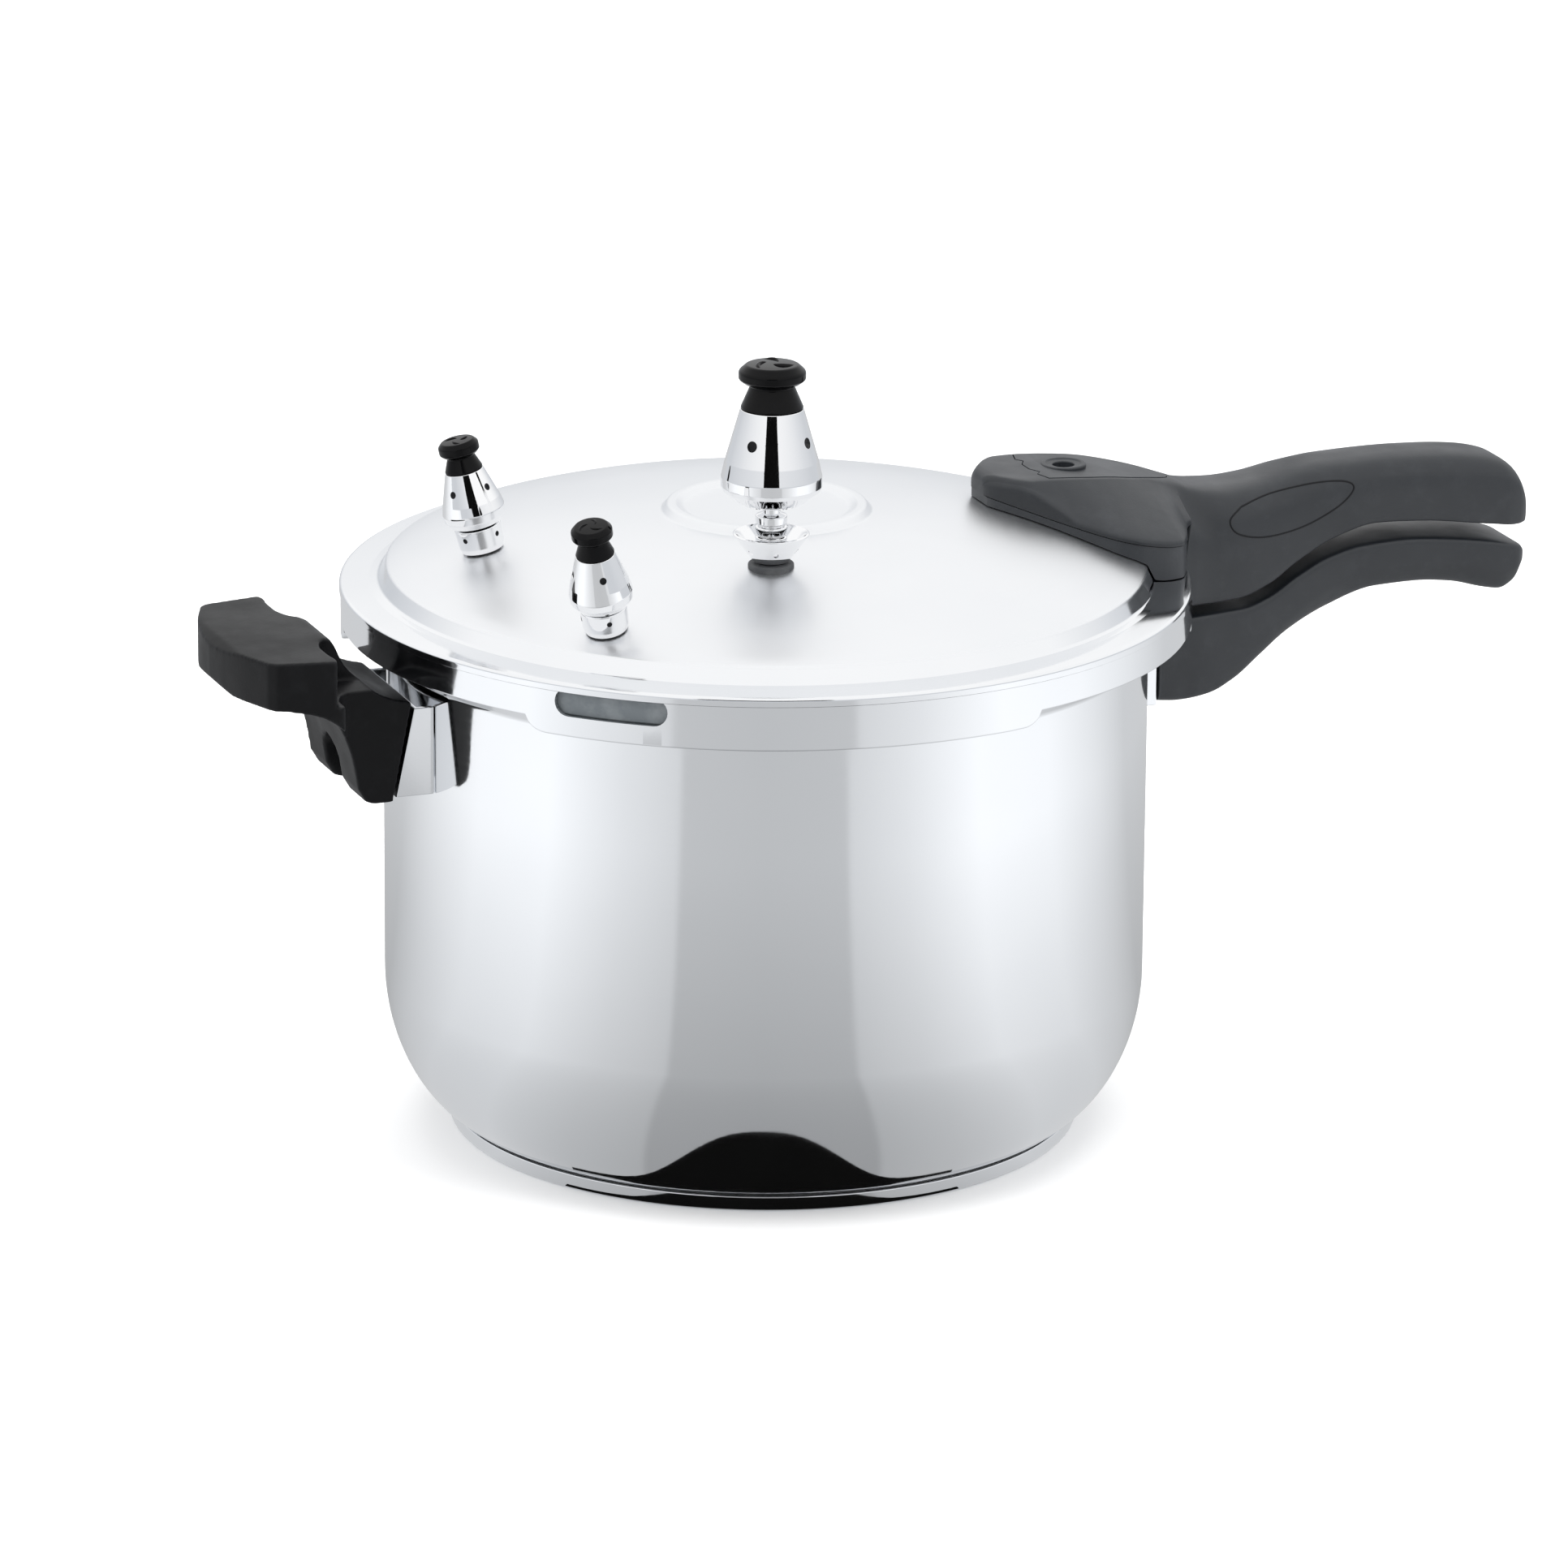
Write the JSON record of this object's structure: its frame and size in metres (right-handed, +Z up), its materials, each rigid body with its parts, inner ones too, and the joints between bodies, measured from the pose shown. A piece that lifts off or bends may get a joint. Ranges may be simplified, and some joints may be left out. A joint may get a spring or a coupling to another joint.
{
  "type": "stovetop pressure cooker",
  "caption": "Polished stainless stovetop pressure cooker with a turn-lock lid, long black handles, a helper handle, a weight valve and relief valves.",
  "frame": {"origin": "centre of the flat base the cooker stands on", "axes": "+Z up, +X along the long handles, away from the helper handle"},
  "size_m": [0.4464, 0.2708, 0.2636],
  "materials": {
    "steel": "mirror polished stainless",
    "chrome": "bright",
    "aluminium": "raw",
    "black": "satin moulded phenolic",
    "gloss": "glossy moulded",
    "rubber": "matt silicone",
    "dark": "matt"
  },
  "bodies": {
    "pot": {"pot_body": "steel", "base_core": "aluminium", "base_cap": "steel", "lower_bracket": "steel", "lower_handle": "black", "lower_screw": "chrome", "helper_bracket": "steel", "helper_handle": "black", "helper_screw": "chrome"},
    "lid": {"lid_shell": "steel", "lid_skirt": "steel", "sealing_ring": "rubber", "handle_base": "black", "upper_handle": "black", "handle_cover": "black", "float_seal": "rubber", "handle_screw_1": "chrome", "handle_screw_2": "chrome", "vent_grommet": "dark", "vent_seat": "chrome", "vent_pipe": "chrome", "vent_nut": "chrome", "vent_strainer": "chrome", "valve_a_body": "chrome", "valve_a_gasket": "dark", "valve_a_nut": "chrome", "valve_b_body": "chrome", "valve_b_gasket": "dark", "valve_b_nut": "chrome"},
    "weight": {"weight_bell": "chrome", "weight_knob": "gloss"},
    "indicator": {"float_pin": "dark"},
    "valve_a": {"valve_a_bell": "chrome", "valve_a_knob": "gloss"},
    "valve_b": {"valve_b_bell": "chrome", "valve_b_knob": "gloss"}
  },
  "joints": [
    {"name": "lid_turn", "type": "hinge", "parent": "pot", "child": "lid", "pos_m": [0, 0, 0.166], "axis": [0, 0, 1], "range_deg": [0, 60]},
    {"name": "weight_lift", "type": "slide", "parent": "lid", "child": "weight", "axis": [0, 0, 1], "range_m": [0, 0.03]},
    {"name": "indicator_rise", "type": "slide", "parent": "lid", "child": "indicator", "axis": [0, 0, 1], "range_m": [0, 0.004]},
    {"name": "valve_a_lift", "type": "slide", "parent": "lid", "child": "valve_a", "axis": [-0.2243, 0.0295, 0.9741], "range_m": [0, 0.003], "stiffness_N_per_m": 600, "springref_m": -0.003},
    {"name": "valve_b_lift", "type": "slide", "parent": "lid", "child": "valve_b", "axis": [-0.211, -0.19, 0.9588], "range_m": [0, 0.003], "stiffness_N_per_m": 600, "springref_m": -0.003}
  ]
}
